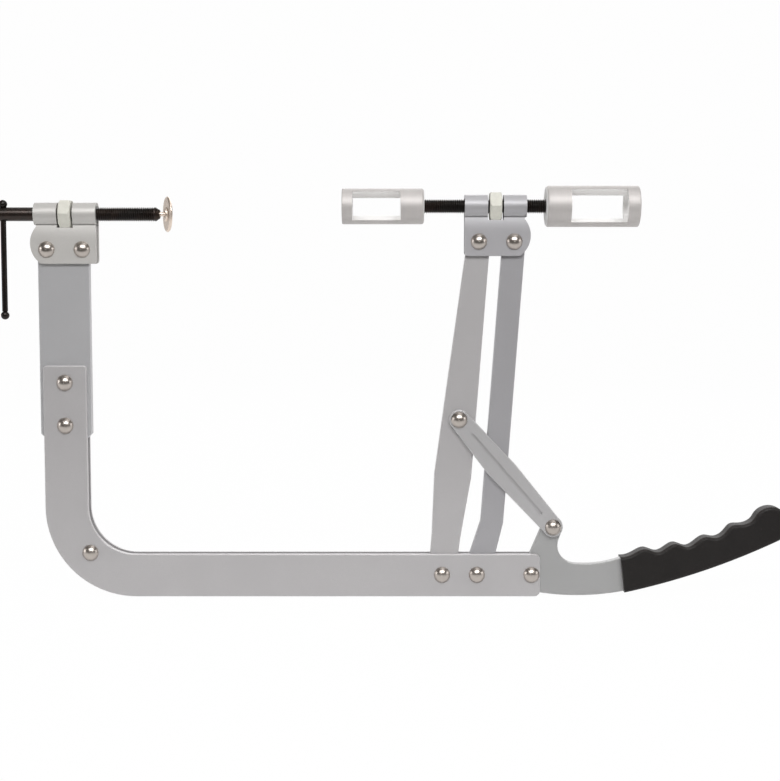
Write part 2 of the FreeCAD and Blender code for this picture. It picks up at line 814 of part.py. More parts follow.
def make_grip(steel):
    """The grip moulded on the lever: a curved back, four finger hollows and a round pommel."""
    radius = size("grip_back_radius").number
    wall = size("grip_wall").number
    thickness = size("grip_thickness").number
    slope = math.radians(size("grip_back_rise_angle").number)
    low = (STEEL_LOW[0].number, STEEL_LOW[1].number - wall)
    high = (STEEL_HIGH[0].number, STEEL_HIGH[1].number + wall)
    tilt = math.tan(math.radians(size("grip_start_tilt_angle").number)) / 2
    lean = (high[1] - low[1]) * tilt
    low = (low[0] + lean, low[1])
    high = (high[0] - lean, high[1])
    pommel_radius = size("pommel_radius").number
    along = size("pommel_along").number

    def back_point(along, height=0.0):
        """A point above the back, which is an arc that starts at the steel's lower edge."""
        angle = slope + along / radius
        x = low[0] + radius * (math.sin(angle) - math.sin(slope)) - height * math.sin(angle)
        z = low[1] + radius * (math.cos(slope) - math.cos(angle)) + height * math.cos(angle)
        return x, z

    pommel = flat_vector(back_point(along, pommel_radius))

    def pommel_point(angle):
        return pommel + flat_vector((math.cos(angle), math.sin(angle))) * pommel_radius

    pommel_top = pommel_point(math.radians(size("pommel_top_angle").number))
    fingers = [flat_vector(back_point(*step)) for step in reversed(FINGER_SIDE)]
    curve = Part.BSplineCurve()
    curve.interpolate([pommel_top, *fingers, flat_vector(high)])
    back_end = flat_vector(back_point(along))
    back = Part.Arc(flat_vector(low), flat_vector(back_point(along / 2)), back_end)
    end = Part.Arc(back_end, pommel_point(0), pommel_top)
    front = Part.LineSegment(flat_vector(high), flat_vector(low))
    outline = Part.Wire([back.toShape(), end.toShape(), curve.toShape(), front.toShape()])
    solid = Part.Face(outline).extrude(FreeCAD.Vector(0, thickness, 0))
    solid.translate(FreeCAD.Vector(0, -thickness / 2, 0))
    long_edges = [
        edge
        for edge in solid.Edges
        if edge.BoundBox.YLength < 1e-6 and edge.BoundBox.XLength > 5
    ]
    solid = solid.makeFillet(size("grip_rounding").number, long_edges)
    grip = document.addObject("Part::Feature", "grip")
    grip.Shape = solid.cut(steel.Shape)
    place(grip, lever_x, 0, pivot_height)
    PIECES.append(grip)


def make_screw():
    """The feed screw: a plain shank with a cross hole, a thread and a coned tip."""
    shank = size("shank_radius")
    thread = size("screw_radius")
    chamfer = size("end_chamfer")
    hole = size("pin_radius") + size("thread_clearance")
    body = new_body("feed_screw")
    sketch = new_sketch(body, "profile")
    draw_outline(sketch, [
        (size("screw_end_x"), 0),
        (size("screw_tip_x") - size("pin_depth"), 0),
        (size("screw_tip_x") - size("pin_depth"), hole),
        (size("screw_tip_x"), hole),
        (size("screw_tip_x"), size("screw_tip_radius")),
        (size("thread_end_x"), thread),
        (size("shank_end_x"), thread),
        (size("shank_end_x"), shank),
        (size("screw_end_x") + chamfer, shank),
        (size("screw_end_x"), shank - chamfer),
    ])
    revolve(body, sketch, "H_Axis")
    cross = new_sketch(body, "cross_hole", "XY_Plane")
    draw_circle(cross, size("bar_x"), 0, size("bar_radius") + size("bar_hole_clearance"))
    pocket(body, cross)
    place(body, 0, 0, screw_axis_z)


def make_bar():
    """The sliding bar through the screw, with a spigot for a ball at each end."""
    spigot = size("ball_spigot_radius")
    ball = size("ball_radius")
    shoulder = root(ball * ball - spigot * spigot)
    low = -size("bar_drop")
    high = size("ball_seat")
    body = new_body("sliding_bar")
    sketch = new_sketch(body, "profile")
    draw_outline(sketch, [
        (0, low),
        (spigot, low),
        (spigot, low + shoulder),
        (size("bar_radius"), low + shoulder),
        (size("bar_radius"), high - shoulder),
        (spigot, high - shoulder),
        (spigot, high),
        (0, high),
    ])
    revolve(body, sketch, "V_Axis")
    place(body, size("bar_x"), 0, screw_axis_z)
    for label, height, hand in [("bar_ball_upper", high, 1), ("bar_ball_lower", low, -1)]:
        make_ball(label, screw_axis_z + height, hand)


def make_ball(label, z, hand):
    """A ball pressed on the end of the bar, its blind bore towards the bar."""
    spigot = size("ball_spigot_radius")
    ball = size("ball_radius")
    mouth = root(ball * ball - spigot * spigot) * (-hand)
    body = new_body(label)
    sketch = new_sketch(body, "profile")
    draw_outline(sketch, [
        (spigot, mouth, (0, 0), hand > 0),
        (0, ball * hand),
        (0, 0),
        (spigot, 0),
    ])
    revolve(body, sketch, "V_Axis")
    place(body, size("bar_x"), 0, z)


def make_pad_pin():
    """The pin that hangs in the screw's tip and holds the pad by a low head in its dish."""
    pin = size("pin_radius")
    head = size("pin_head_radius")
    height = size("pin_head_height")
    start = size("screw_tip_x") - size("pin_depth") + size("running_gap")
    collar = size("pad_x") + size("pad_dish_wall") / 2 + size("pin_head_gap")
    peak = collar + height
    dome = (head * head + height * height) / (height * 2)
    body = new_body("pad_pin")
    sketch = new_sketch(body, "profile")
    draw_outline(sketch, [
        (start, 0),
        (peak, 0, (peak - dome, 0), True),
        (collar, head),
        (collar, pin),
        (start, pin),
    ])
    revolve(body, sketch, "H_Axis")
    place(body, 0, 0, screw_axis_z)


def make_pad():
    """The round pressure pad, loose on its pin and turned as it came to rest.

    Its own origin is the middle of the hole in the floor of its dish, where it tilts.
    """
    radius = size("pad_radius")
    hole = size("pad_hole_radius")
    wall = size("pad_dish_wall")
    face = wall / 2 + size("pad_dish_depth")
    back = face - size("pad_thickness")
    edge = size("edge_rounding")
    body = new_body("swivel_pad")
    sketch = new_sketch(body, "profile")
    draw_outline(sketch, [
        (-(wall / 2), hole),
        (wall / 2, hole),
        (wall / 2, size("pad_dish_floor")),
        (face, size("pad_dish_radius")),
        (face, radius - edge),
        (face - edge, radius),
        (back + edge, radius),
        (back, radius - edge),
        (back, size("pad_dish_radius") + wall),
        (-(wall / 2), size("pad_dish_floor") + wall),
    ])
    revolve(body, sketch, "H_Axis")
    place(body, size("pad_x"), 0, screw_axis_z, lean=size("pad_turn_angle"), axis=(0, 0, 1))


def make_stud():
    """The stud through the jaw's nut, threaded from end to end."""
    thread = size("screw_radius")
    chamfer = size("end_chamfer")
    reach = size("adaptor_socket_depth") - size("running_gap")
    left = size("small_adaptor_x") - reach
    right = size("large_adaptor_x") + reach
    body = new_body("jaw_stud")
    sketch = new_sketch(body, "profile")
    draw_outline(sketch, [
        (left, 0),
        (right, 0),
        (right, thread - chamfer),
        (right - chamfer, thread),
        (left + chamfer, thread),
        (left, thread - chamfer),
    ])
    revolve(body, sketch, "H_Axis")
    place(body, 0, 0, jaw_axis_z)


def make_adaptor(name, x, turned):
    """A cup that presses on the spring's cap, with a window on each side for the collets.

    Its own X axis runs from its closed end to its mouth, which is turned out to seat the cap.
    """
    radius = size(f"{name}_adaptor_radius")
    inner = radius - size(f"{name}_adaptor_wall")
    length = size(f"{name}_adaptor_length")
    floor = size(f"{name}_adaptor_root")
    window_end = length - size(f"{name}_adaptor_rim")
    seat = window_end + size("mouth_land")
    mouth = inner + size("mouth_recess")
    depth = size("adaptor_socket_depth")
    edge = size("adaptor_edge_rounding")
    lip = size("edge_rounding")
    body = new_body(f"{name}_adaptor")
    sketch = new_sketch(body, "profile")
    draw_outline(sketch, [
        (0, screw_bore_radius),
        (depth, screw_bore_radius),
        (depth, 0),
        (floor, 0),
        (floor, inner),
        (seat, inner),
        (seat, mouth),
        (length, mouth),
        (length, radius - lip, (length - lip, radius - lip), True),
        (length - lip, radius),
        (edge, radius, (edge, radius - edge), True),
        (0, radius - edge),
    ])
    revolve(body, sketch, "H_Axis")
    for side, backwards in (("front", True), ("rear", False)):
        half = size(f"{name}_window_{side}")
        window = new_sketch(body, f"{side}_window")
        draw_outline(window, [
            (floor, -half),
            (window_end, -half),
            (window_end, half),
            (floor, half),
        ])
        pocket(body, window, radius * 2, centred=False, backwards=backwards)
    lean = as_size(180) if turned else None
    place(body, x, 0, jaw_axis_z, lean=lean)


make_frame_plate("frame_plate_front", -1)
make_frame_plate("frame_plate_rear", 1)
make_post()
make_corner_spacer()
make_rivet("post_rivet_upper", stack_depth, leg_middle, leg_rivet_high)
make_rivet("post_rivet_lower", stack_depth, leg_middle, leg_rivet_low)
make_rivet("corner_rivet", stack_depth, corner_rivet_x, corner_rivet_z)
make_saddle("screw_saddle", 1, screw_rivet_x, screw_rivet_z)
make_rivet("screw_saddle_rivet_inner", saddle_depth, screw_rivet_x, screw_rivet_z)
make_rivet("screw_saddle_rivet_outer", saddle_depth, screw_rivet_x - size("saddle_pitch"), screw_rivet_z)
make_nut("screw_nut", screw_rivet_x - nut_offset, screw_axis_z)
make_screw()
make_bar()
make_pad_pin()
make_pad()
make_rivet("front_arm_pivot", stack_depth, front_pivot_x, pivot_height)
make_rivet("rear_arm_pivot", stack_depth, rear_pivot_x, pivot_height)
make_rivet("lever_pivot", stack_depth, lever_x, pivot_height)
make_front_arm()
make_rear_arm()
make_grip(make_lever_plate())
make_link_plate("link_plate_front", -1)
make_link_plate("link_plate_rear", 1)
make_rivet("link_arm_pivot", stack_depth, arm_joint_x, arm_joint_z)
make_rivet("link_lever_pivot", stack_depth, link_joint_x, link_joint_z)
make_saddle("jaw_saddle", -1, jaw_pivot_x, jaw_pivot_z)
make_rivet("jaw_front_pivot", saddle_depth, jaw_pivot_x, jaw_pivot_z)
make_rivet("jaw_rear_pivot", saddle_depth, jaw_pivot_x + size("saddle_pitch"), jaw_pivot_z)
make_nut("jaw_nut", jaw_pivot_x + nut_offset, jaw_axis_z)
make_stud()
make_adaptor("small", size("small_adaptor_x"), True)
make_adaptor("large", size("large_adaptor_x"), False)

for thing in document.Objects:
    if "Invalid" in thing.State or "Error" in thing.State:
        raise RuntimeError(f"{thing.Label} failed: {thing.State}")
os.makedirs("parts", exist_ok=True)
for piece in PIECES:
    shape = piece.Shape
    if shape.isNull() or not shape.isValid():
        raise RuntimeError(f"{piece.Label} has no sound shape")
    shape.exportStep(f"parts/{piece.Label}.step")
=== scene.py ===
import math

import bpy
import numpy as np
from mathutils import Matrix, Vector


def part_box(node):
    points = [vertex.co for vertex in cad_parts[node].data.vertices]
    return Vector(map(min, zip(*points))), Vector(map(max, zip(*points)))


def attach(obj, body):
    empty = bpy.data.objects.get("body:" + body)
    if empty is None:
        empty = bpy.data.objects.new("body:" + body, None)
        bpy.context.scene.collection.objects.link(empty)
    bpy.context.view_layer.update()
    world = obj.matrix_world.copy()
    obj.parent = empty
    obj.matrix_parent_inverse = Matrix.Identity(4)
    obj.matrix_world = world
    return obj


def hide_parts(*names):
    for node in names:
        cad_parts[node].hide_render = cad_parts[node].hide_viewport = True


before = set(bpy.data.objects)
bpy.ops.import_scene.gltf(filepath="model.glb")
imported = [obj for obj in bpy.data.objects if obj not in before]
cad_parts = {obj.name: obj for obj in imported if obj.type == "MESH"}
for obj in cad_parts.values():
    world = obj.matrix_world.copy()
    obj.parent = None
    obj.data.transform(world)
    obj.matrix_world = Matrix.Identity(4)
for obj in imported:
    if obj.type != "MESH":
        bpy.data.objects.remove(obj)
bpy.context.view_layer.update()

bl_info = {
    "name": "Valve Spring Compressor",
    "version": (1, 0, 0),
    "blender": (4, 5, 0),
    "location": "View3D > Sidebar > Compressor",
    "description": "Threads, nuts and finishes of a C-frame valve spring compressor",
    "category": "Object",
}

# The photograph's width and the focal length of its camera, in pixels, and that camera's place
IMAGE_WIDTH = 780
FOCAL_PIXELS = 1440
SENSOR_WIDTH_MM = 36.0
CAMERA_PLACE = (-0.0028, -1.019, 0.2272)
CAMERA_PITCH = math.radians(85.5)

# The feed screw's plain shank, the ends of its thread and the radius of its coned tip, in metres
SHANK_RADIUS = 0.00485
THREAD_START_X = -0.246
THREAD_END_X = -0.1673
TIP_RADIUS = 0.003

# How far a thread's flanks would run past crest and root, over its depth, which leaves a flat at
# each, the rings of points in one pitch, the points round a rod, and the angle past which an edge
# of the thread is sharp
FLANK_OVERRUN = 0.18
RINGS_PER_PITCH = 10
ROD_POINTS = 64
THREAD_SHARP_ANGLE = math.radians(40)

# A nut's chamfer circle over its half width across flats, its mouth's radius over its bore's, the
# points round it, a multiple of six, and the angle past which an edge of it is sharp
CHAMFER_CIRCLE = 0.96
MOUTH_FLARE = 1.1
NUT_POINTS = 144
NUT_SHARP_ANGLE = math.radians(20)

# A saddle's crease, where its sheet turns from the tube into the legs: its place under the saddle's
# top, the half width of its painted shade and lip, its depth and the length over which the legs bow out
# under it, in metres
CREASE_DROP = 0.0158
CREASE_HALF_WIDTH = 0.0009
CREASE_DEPTH = 0.0009
BOW_LENGTH = 0.009

# How far under an adaptor's outside its cup and window walls begin, and over what depth, in metres; these
# walls carry a painted reflection of the white backdrop
CUT_DEPTH = 0.0006
CUT_BLEND = 0.0002

# Nearly all of a noise lies between these two values
NOISE_LOW = 0.3
NOISE_HIGH = 0.7

# The floor's gap under the tool, in metres, its colour, and the shares of white that camera rays and
# mirrored rays see on it, where the rest is its own colour with the tool's shadow
WHITE = (1, 1, 1, 1)
FLOOR_GAP = 0.0002
FLOOR_COLOUR = (0.9, 0.9, 0.9, 1)
SEEN_WHITE = 0.985
MIRRORED_WHITE = 0.95

# The dim room round the tool, which its round surfaces mirror
ROOM_COLOUR = (1, 0.95, 0.9, 1)
ROOM_STRENGTH = 0.13

PAINTED_PLATES = ("frame_plate_front", "frame_plate_rear", "corner_spacer", "front_arm")
RIVETS = (
    "post_rivet_upper", "post_rivet_lower", "corner_rivet",
    "screw_saddle_rivet_inner", "screw_saddle_rivet_outer",
    "front_arm_pivot", "rear_arm_pivot", "lever_pivot",
    "link_arm_pivot", "link_lever_pivot",
    "jaw_front_pivot", "jaw_rear_pivot",
)


def srgb(red, green, blue):
    """The linear colour of three 8-bit values."""
    values = np.array([red, green, blue]) / 255
    linear = np.where(values <= 0.04045, values / 12.92, ((values + 0.055) / 1.055) ** 2.4)
    return tuple(float(value) for value in linear)


def colour_property(name, description, default):
    """A finish's colour, which a user may change."""
    return bpy.props.FloatVectorProperty(
        name=name, description=description, subtype="COLOR", size=3, min=0, max=1, default=default)


class CompressorSizes(bpy.types.PropertyGroup):
    """Sizes of the threads and nuts, in metres."""

    pitch: bpy.props.FloatProperty(
        name="Pitch", description="Advance of both threads in one turn", unit="LENGTH", default=0.0015)
    thread_depth: bpy.props.FloatProperty(
        name="Thread depth", description="From crest to root", unit="LENGTH", default=0.00085)
    runout: bpy.props.FloatProperty(
        name="Runout", description="Length over which a thread fades", unit="LENGTH", default=0.0018)
    nut_chamfer: bpy.props.FloatProperty(
        name="Nut chamfer", description="Slope of the nuts' corner chamfers", subtype="ANGLE",
        default=math.radians(30))
    end_chamfer: bpy.props.FloatProperty(
        name="End chamfer", description="Chamfer on the ends of screw and stud", unit="LENGTH",
        default=0.001)


class CompressorColours(bpy.types.PropertyGroup):
    """Colours of the finishes."""

    paint: colour_property("Paint", "Silver paint of the frame", srgb(185, 183, 184))
    post_paint: colour_property("Post paint", "Paint of the upright post", srgb(182, 182, 184))
    # The two saddles' copies of the frame's paint differ in lightness as painted light and shade: the screw
    # saddle's is paler, the jaw saddle's darker.
    screw_saddle_paint: colour_property(
        "Screw saddle", "Paler paint of the screw's saddle", srgb(200, 198, 195))
    jaw_saddle_paint: colour_property("Jaw saddle", "Paint of the jaw's saddle", srgb(177, 176, 179))
    # Painted shade: the rear arm's copy of the paint is darker.
    rear_arm_shaded_paint: colour_property("Rear arm paint", "Darker paint of the rear arm", srgb(168, 167, 170))
    link_paint: colour_property("Link paint", "Paint of the links", srgb(182, 181, 182))
    lever_paint: colour_property("Lever paint", "Paint of the lever", srgb(168, 168, 168))
    nickel: colour_property("Nickel", "Nickel plate of the rivets", srgb(188, 180, 173))
    pad: colour_property("Pad", "Worn plate of the swivel pad and its pin", srgb(240, 224, 210))
    zinc: colour_property("Zinc", "Zinc plate of the nuts", srgb(219, 218, 208))
    black: colour_property("Black oxide", "Blackened screw, stud and bar", srgb(42, 38, 36))
    vinyl: colour_property("Vinyl", "Dipped vinyl of the grip", srgb(30, 27, 26))
    aluminium: colour_property("Aluminium", "Turned aluminium of the adaptors", srgb(204, 200, 198))
    # Painted reflection: the adaptors' cup and window walls are painted near white, for the white backdrop
    # they mirror.
    cut: colour_property("Cut aluminium", "Cup and window walls of the adaptors", srgb(244, 243, 242))


def settings():
    """The scene's sizes."""
    return bpy.context.scene.compressor_sizes


def colours():
    """The scene's colours."""
    return bpy.context.scene.compressor_colours


def ring_surface(name, rings, start=None, end=None):
    """A closed skin over rings of points, each an array (around, 3), with a point at each end.

    Ring i's point j is joined to ring i + 1's point j, so the skin is a grid whose second
    parameter closes on itself. Without end points the last ring is joined to the first.
    """
    count, around = rings.shape[:2]
    points = rings.reshape(-1, 3)
    here = np.arange(around)
    following = (here + 1) % around
    tube = start is None
    steps = np.arange(count if tube else count - 1)[:, None]
    lower = steps * around
    upper = ((steps + 1) % count) * around
    quads = np.stack([lower + here, lower + following, upper + following, upper + here], axis=-1)
    faces = quads.reshape(-1, 4).tolist()
    if not tube:
        points = np.vstack([points, start, end])
        last = (count - 1) * around
        first_pole = count * around
        caps = np.stack([np.full(around, first_pole), following, here], axis=-1)
        faces += caps.tolist()
        caps = np.stack([np.full(around, first_pole + 1), last + here, last + following], axis=-1)
        faces += caps.tolist()
    mesh = bpy.data.meshes.new(name)
    mesh.from_pydata(points.tolist(), [], faces)
    mesh.update()
    if signed_volume(mesh) < 0:
        mesh.flip_normals()
    mesh.shade_smooth()
    piece = bpy.data.objects.new(name, mesh)
    bpy.context.scene.collection.objects.link(piece)
    return piece


def signed_volume(mesh):
    """Six times the volume inside a mesh, positive where its faces point outwards."""
    mesh.calc_loop_triangles()
    corners = np.zeros(len(mesh.loop_triangles) * 3, np.int32)
    mesh.loop_triangles.foreach_get("vertices", corners)
    places = np.zeros(len(mesh.vertices) * 3)
    mesh.vertices.foreach_get("co", places)
    a, b, c = places.reshape(-1, 3)[corners.reshape(-1, 3)].transpose(1, 0, 2)
    return float(np.einsum("ij,ij->", a, np.cross(b, c)))


def round_x(along, radius, turn, height):
    """Rings round an axis along X at a height: y is r cos t, and z is the height plus r sin t."""
    along, radius, turn = np.broadcast_arrays(along, radius, turn)
    return np.stack([along, radius * np.cos(turn), height + radius * np.sin(turn)], axis=-1)


def thread_drop(along, turn, start, end):
    """How far a right-hand thread lies under its crest.

    The phase is x over the pitch less the turn's share of a circle. The drop rises and falls over
    it in a straight line that runs past crest and root and is cut off there, which leaves a flat
    at each. It fades to nothing at both ends of the thread.
    """
    sizes = settings()
    phase = (along / sizes.pitch - turn / (2 * math.pi)) % 1
    ramp = np.clip(np.abs(2 * phase - 1) * (1 + 2 * FLANK_OVERRUN) - FLANK_OVERRUN, 0, 1)
    fade = np.clip(np.minimum(along - start, end - along) / sizes.runout, 0, 1)
    return sizes.thread_depth * ramp * fade


def threaded_rod(name, node, profile, thread):
    """A turned rod: the profile's radius over x, less the thread's drop between two places.

    Profile is a list of (x, radius); thread is (start, end) in x.
    """
    low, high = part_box(node)
    height = (low[2] + high[2]) / 2
    start, end = thread
    count = int((end - start) / settings().pitch * RINGS_PER_PITCH)
    places = np.concatenate([
        [x for x, _ in profile if x < start],
        np.linspace(start, end, count),
        [x for x, _ in profile if x > end],
    ])
    radius = np.interp(places, [x for x, _ in profile], [r for _, r in profile])
    turn = np.linspace(0, 2 * math.pi, ROD_POINTS, endpoint=False)[None, :]
    along = places[:, None]
    drop = thread_drop(along, turn, start, end)
    rings = round_x(along, radius[:, None] - drop, turn, height)
    piece = ring_surface(name, rings, (profile[0][0], 0, height), (profile[-1][0], 0, height))
    piece.data.set_sharp_from_angle(angle=THREAD_SHARP_ANGLE)
    return piece


def hexagon_nut(name, node):
    """A nut on the X axis with a corner towards the viewer.

    The outline's radius is the half width across flats over the cosine of the angle from the
    middle of the nearest flat. A cone cuts the corners: the half thickness falls by the slope
    times what the radius has beyond the chamfer circle.
    """
    low, high = (np.array(corner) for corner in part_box(node))
    middle = (low + high) / 2
    half = (high[0] - low[0]) / 2
    flat = (high[2] - low[2]) / 2
    bore = crest_radius()
    turn = np.linspace(0, 2 * math.pi, NUT_POINTS, endpoint=False)
    outline = flat / np.cos((turn % (math.pi / 3)) - math.pi / 6)
    circle = flat * CHAMFER_CIRCLE
    cut = (outline - circle) * math.tan(settings().nut_chamfer)
    ones = np.ones_like(turn)
    mouth = bore * MOUTH_FLARE
    side = [
        (half - (mouth - bore), ones * bore),
        (half, ones * mouth),
        (half, ones * circle),
        (half - cut, outline),
    ]
    profile = side + [(-depth, radius) for depth, radius in reversed(side)]
    rings = np.stack([
        round_x(middle[0] + depth, radius, turn, middle[2]) for depth, radius in profile
    ])
    piece = ring_surface(name, rings)
    piece.data.set_sharp_from_angle(angle=NUT_SHARP_ANGLE)
    return piece


def crest_radius():
    """The threads' outside radius, which also fills the nuts' bores."""
    low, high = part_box("jaw_stud")
    return (high[2] - low[2]) / 2


def finish_piece(piece, node, body, material):
    """Paint a new piece, join it to a body and let it stand in for a CAD node."""
    piece.data.materials.append(material)
    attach(piece, body)
    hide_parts(node)


def repaint(nodes, material):
    """Give CAD nodes a new material in every slot."""
    for name in nodes:
        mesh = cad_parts[name].data
        if not mesh.materials:
            mesh.materials.append(material)
        for index in range(len(mesh.materials)):
            mesh.materials[index] = material


class Nodes:
    """Shorthand for the nodes of one tree."""

    def __init__(self, tree):
        self.tree = tree

    def add(self, kind, **values):
        node = self.tree.nodes.new(kind)
        for name, value in values.items():
            setattr(node, name, value)
        return node

    def link(self, source, target):
        self.tree.links.new(source, target)

    def fill(self, socket, source):
        """Link an input to another node's output, or set it to a number or a colour."""
        if isinstance(source, bpy.types.NodeSocket):
            self.link(source, socket)
        elif isinstance(source, tuple):
            socket.default_value = (*source[:3], 1)
        else:
            socket.default_value = source

    def feed(self, node, **sources):
        """Link or set inputs by name, with underscores for spaces."""
        for name, source in sources.items():
            self.fill(node.inputs[name.replace("_", " ")], source)

    def math(self, operation, first, second=0.0):
        node = self.add("ShaderNodeMath", operation=operation)
        self.fill(node.inputs[0], first)
        self.fill(node.inputs[1], second)
        return node.outputs[0]

    def noise(self, vector, scale, detail=3.0, roughness=0.6):
        node = self.add("ShaderNodeTexNoise")
        self.feed(node, Vector=vector, Scale=scale, Detail=detail, Roughness=roughness)
        return node.outputs["Fac"]

    def stretched(self, vector, scale):
        node = self.add("ShaderNodeMapping")
        self.feed(node, Vector=vector)
        node.inputs["Scale"].default_value = scale
        return node.outputs["Vector"]

    def remap(self, value, low, high, to_low=0.0, to_high=1.0, smooth=False):
        node = self.add("ShaderNodeMapRange")
        if smooth:
            node.interpolation_type = "SMOOTHSTEP"
        self.feed(node, Value=value, From_Min=low, From_Max=high, To_Min=to_low, To_Max=to_high)
        return node.outputs["Result"]

    def speckle(self, grain, to_low=0.0, to_high=1.0):
        """A grain's fine noise, spread from one value to another."""
        return self.remap(grain.outputs["Speckle"], NOISE_LOW, NOISE_HIGH, to_low, to_high)

    def share(self, mask, amount):
        """A mask weakened to an amount."""
        return self.math("MULTIPLY", mask, amount)

    def mix(self, factor, first, second):
        node = self.add("ShaderNodeMix", data_type="RGBA")
        self.fill(node.inputs[0], factor)
        self.fill(node.inputs[6], first)
        self.fill(node.inputs[7], second)
        return node.outputs[2]

    def bump(self, height, strength, distance, under=None):
        node = self.add("ShaderNodeBump")
        self.feed(node, Height=height, Strength=strength, Distance=distance)
        if under:
            self.link(under, node.inputs["Normal"])
        return node.outputs["Normal"]

    def group(self, tree, **sources):
        node = self.add("ShaderNodeGroup", node_tree=tree)
        self.feed(node, **sources)
        return node


def new_group(name, inputs, outputs):
    """A node group; inputs are (name, kind, default) and outputs are names of values."""
    tree = bpy.data.node_groups.new(name, "ShaderNodeTree")
    for label, kind, default in inputs:
        socket = tree.interface.new_socket(name=label, in_out="INPUT", socket_type=kind)
        if default is not None:
            socket.default_value = default
    for label in outputs:
        tree.interface.new_socket(name=label, in_out="OUTPUT", socket_type="NodeSocketFloat")
    nodes = Nodes(tree)
    return nodes, nodes.add("NodeGroupInput").outputs, nodes.add("NodeGroupOutput").inputs


def grain_group():
    """Fine and broad unevenness of a coat: two noises of unlike scale."""
    nodes, given, result = new_group(
        "coat grain",
        [("Vector", "NodeSocketVector", None), ("Fine", "NodeSocketFloat", 1500.0),
         ("Broad", "NodeSocketFloat", 30.0)],
        ["Speckle", "Cloud"])
    nodes.link(nodes.noise(given["Vector"], given["Fine"], detail=2.0), result["Speckle"])
    nodes.link(nodes.noise(given["Vector"], given["Broad"], detail=4.0), result["Cloud"])
    return nodes.tree


def rim_group():
    """Where a plate turns away from its flat sides.

    The mask is one where the size of the normal's Y is small and zero where it is near one, with
    a smooth step between.
    """
    nodes, given, result = new_group(
        "plate rim", [("Normal", "NodeSocketVector", None)], ["Rim"])
    parts = nodes.add("ShaderNodeSeparateXYZ")
    nodes.link(given["Normal"], parts.inputs[0])
    flatness = nodes.math("ABSOLUTE", parts.outputs["Y"])
    turned, flat = 0.55, 0.98
    nodes.link(nodes.remap(flatness, turned, flat, 1.0, 0.0, smooth=True), result["Rim"])
    return nodes.tree


def crease_group():
    """A crease at a height: the painted shade that darkens it, and the surface's height about it.

    With d the depth under the crease, w its half width and b the bow's length, the height is
    1 - s(1 + d / w) above it and 1 - (1 - d / b) squared under it, where s is a smooth step.
    """
    nodes, given, result = new_group(
        "crease", [("Vector", "NodeSocketVector", None), ("Level", "NodeSocketFloat", 0.0)],
        ["Shade", "Relief"])
    parts = nodes.add("ShaderNodeSeparateXYZ")
    nodes.link(given["Vector"], parts.inputs[0])
    under = nodes.math("SUBTRACT", given["Level"], parts.outputs["Z"])
    lip = nodes.remap(under, -CREASE_HALF_WIDTH, 0.0, 1.0, 0.0, smooth=True)
    left = nodes.remap(under, 0.0, BOW_LENGTH, 1.0, 0.0)
    bow = nodes.math("SUBTRACT", 1.0, nodes.math("MULTIPLY", left, left))
    nodes.link(nodes.math("MAXIMUM", lip, bow), result["Relief"])
    distance = nodes.math("ABSOLUTE", under)
    nodes.link(nodes.remap(distance, 0.0, CREASE_HALF_WIDTH, 1.0, 0.0, smooth=True), result["Shade"])
    return nodes.tree


def scratch_group():
    """Hairline marks: a noise pressed flat along Z, of which only the crests count."""
    nodes, given, result = new_group(
        "hairlines",
        [("Vector", "NodeSocketVector", None), ("Scale", "NodeSocketFloat", 60.0),
         ("Rarity", "NodeSocketFloat", 0.66)],
        ["Lines"])
    pressed = nodes.stretched(given["Vector"], (1.0, 1.0, 22.0))
    lines = nodes.noise(pressed, given["Scale"], detail=2.0)
    over = nodes.math("SUBTRACT", lines, given["Rarity"])
    full_mark = 0.05
    nodes.link(nodes.remap(over, 0.0, full_mark), result["Lines"])
    return nodes.tree


def speck_group():
    """Scattered specks of dust: cells whose centre lies near, kept only where a noise is high."""
    nodes, given, result = new_group(
        "dust specks",
        [("Vector", "NodeSocketVector", None), ("Scale", "NodeSocketFloat", 900.0),
         ("Amount", "NodeSocketFloat", 0.5)],
        ["Specks"])
    cells = nodes.add("ShaderNodeTexVoronoi")
    nodes.feed(cells, Vector=given["Vector"], Scale=given["Scale"])
    core, edge = 0.12, 0.3
    near = nodes.remap(cells.outputs["Distance"], core, edge, 1.0, 0.0)
    patches = nodes.noise(given["Vector"], scale=220.0)
    none_kept, all_kept = 0.95, 1.1
    kept = nodes.remap(nodes.math("ADD", patches, given["Amount"]), none_kept, all_kept)
    nodes.link(nodes.math("MULTIPLY", near, kept), result["Specks"])
    return nodes.tree


def axis_group():
    """The distance from an axis along X at a height."""
    nodes, given, result = new_group(
        "axis distance",
        [("Vector", "NodeSocketVector", None), ("Height", "NodeSocketFloat", 0.0)],
        ["Distance"])
    parts = nodes.add("ShaderNodeSeparateXYZ")
    nodes.link(given["Vector"], parts.inputs[0])
    up = nodes.math("SUBTRACT", parts.outputs["Z"], given["Height"])
    squares = [nodes.math("POWER", side, 2.0) for side in (parts.outputs["Y"], up)]
    nodes.link(nodes.math("SQRT", nodes.math("ADD", *squares)), result["Distance"])
    return nodes.tree


GROUPS = {}


def shared(maker):
    """A node group that is made once, when a material first asks for it."""
    if maker not in GROUPS:
        GROUPS[maker] = maker()
    return GROUPS[maker]


def new_material(name, metallic=0.0):
    """A material with a Principled shader: its nodes, the shader and its texture coordinates."""
    material = bpy.data.materials.new(name)
    material.use_nodes = True
    material.node_tree.nodes.clear()
    nodes = Nodes(material.node_tree)
    shader = nodes.add("ShaderNodeBsdfPrincipled")
    output = nodes.add("ShaderNodeOutputMaterial")
    nodes.link(shader.outputs[0], output.inputs[0])
    shader.inputs["Metallic"].default_value = metallic
    where = nodes.add("ShaderNodeTexCoord")
    return material, nodes, shader, where.outputs


def scaled(colour, factor):
    """A colour times a factor, at most white."""
    return tuple(min(1.0, value * factor) for value in colour)


